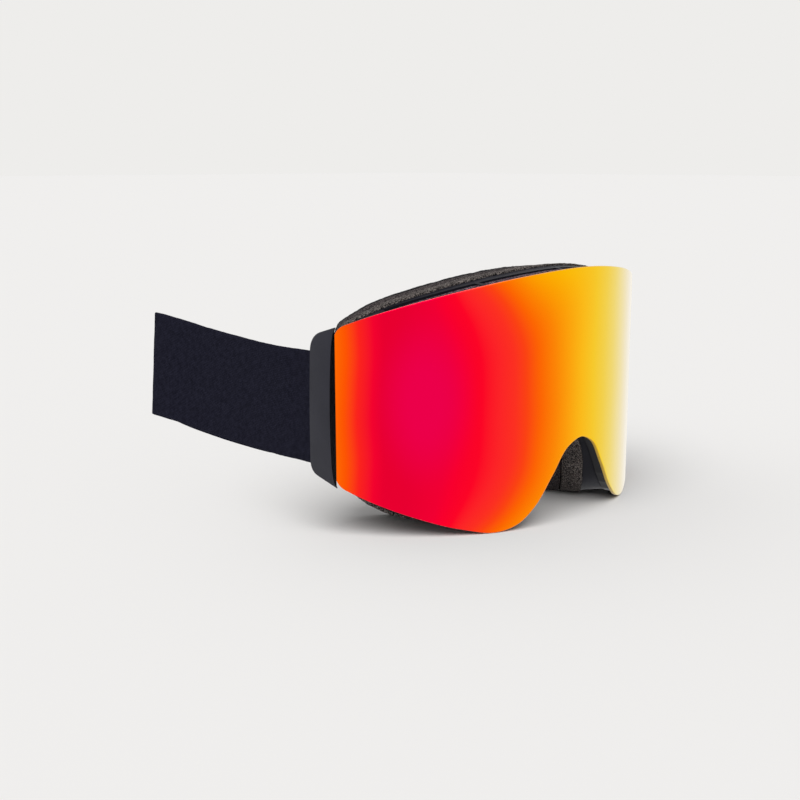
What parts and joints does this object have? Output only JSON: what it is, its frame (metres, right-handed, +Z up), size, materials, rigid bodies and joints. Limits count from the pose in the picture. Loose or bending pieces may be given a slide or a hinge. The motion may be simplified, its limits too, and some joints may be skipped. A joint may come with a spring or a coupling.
{
  "type": "ski goggles",
  "caption": "Ski goggles with a frameless mirrored cylindrical lens, magnetic lens release, layered face foam, hinged outriggers and an elastic head strap with a slider.",
  "frame": {"origin": "on the standing surface, under the middle of the whole object", "axes": "+X to the wearer's left, +Y from the lens towards the face, +Z up"},
  "size_m": [0.19, 0.1603, 0.1015],
  "materials": {
    "mirror_lens": "thin-film mirror coating on a smooth polycarbonate lens, orange-red at the sides, magenta-red and yellow with angle",
    "clear_lens": "smooth tinted anti-fog sheet",
    "gasket_foam": "closed-cell foam spacer",
    "carrier_plastic": "satin moulded rim",
    "frame_plastic": "soft moulded thermoplastic, satin, near-black navy",
    "vent_foam": "coarse open-cell filter foam",
    "face_foam": "open-cell face foam, dark grey, mottled",
    "face_foam_dark": "denser comfort foam, near black",
    "fleece": "brushed fleece lining",
    "outrigger_plastic": "finely textured moulded plastic with a bevelled edge",
    "steel": "turned pin",
    "magnet": "nickel-plated block",
    "webbing": "elastic webbing with fine cross ribs, near-black navy",
    "silicone": "silicone grip bead",
    "slider_plastic": "moulded three-bar slider"
  },
  "bodies": {
    "frame": {"face_frame": "frame_plastic", "top_vent_foam": "vent_foam", "lower_left_vent_foam": "vent_foam", "lower_right_vent_foam": "vent_foam", "face_foam_base": "face_foam", "face_foam_comfort": "face_foam_dark", "face_fleece": "fleece", "right_hinge_pin": "steel", "left_hinge_pin": "steel", "strap": "webbing", "strap_grip_1": "silicone", "strap_grip_2": "silicone", "strap_grip_3": "silicone", "frame_magnet_1": "magnet", "frame_magnet_2": "magnet", "frame_magnet_3": "magnet", "frame_magnet_4": "magnet", "frame_magnet_5": "magnet", "frame_magnet_6": "magnet"},
    "lens": {"outer_lens": "mirror_lens", "inner_lens": "clear_lens", "lens_gasket": "gasket_foam", "lens_carrier": "carrier_plastic", "lens_magnet_1": "magnet", "lens_magnet_2": "magnet", "lens_magnet_3": "magnet", "lens_magnet_4": "magnet", "lens_magnet_5": "magnet", "lens_magnet_6": "magnet"},
    "right_outrigger": {"right_outrigger": "outrigger_plastic", "right_strap_bar": "steel", "right_strap_end": "webbing"},
    "left_outrigger": {"left_outrigger": "outrigger_plastic", "left_strap_bar": "steel", "left_strap_end": "webbing"},
    "slider": {"slider": "slider_plastic", "strap_return": "webbing"}
  },
  "joints": [
    {"name": "lens_release", "type": "slide", "parent": "frame", "child": "lens", "axis": [0, -1, 0], "range_m": [0, 0.03]},
    {"name": "right_outrigger_hinge", "type": "hinge", "parent": "frame", "child": "right_outrigger", "pos_m": [-0.0834, -0.0232, 0.05], "axis": [0, 0, 1], "range_deg": [-1.5, 8]},
    {"name": "left_outrigger_hinge", "type": "hinge", "parent": "frame", "child": "left_outrigger", "pos_m": [0.0834, -0.0232, 0.05], "axis": [0, 0, -1], "range_deg": [-1.5, 8]},
    {"name": "slider_travel", "type": "slide", "parent": "frame", "child": "slider", "axis": [-0.158, -0.9874, 0], "range_m": [-0.004, 0.013]}
  ]
}
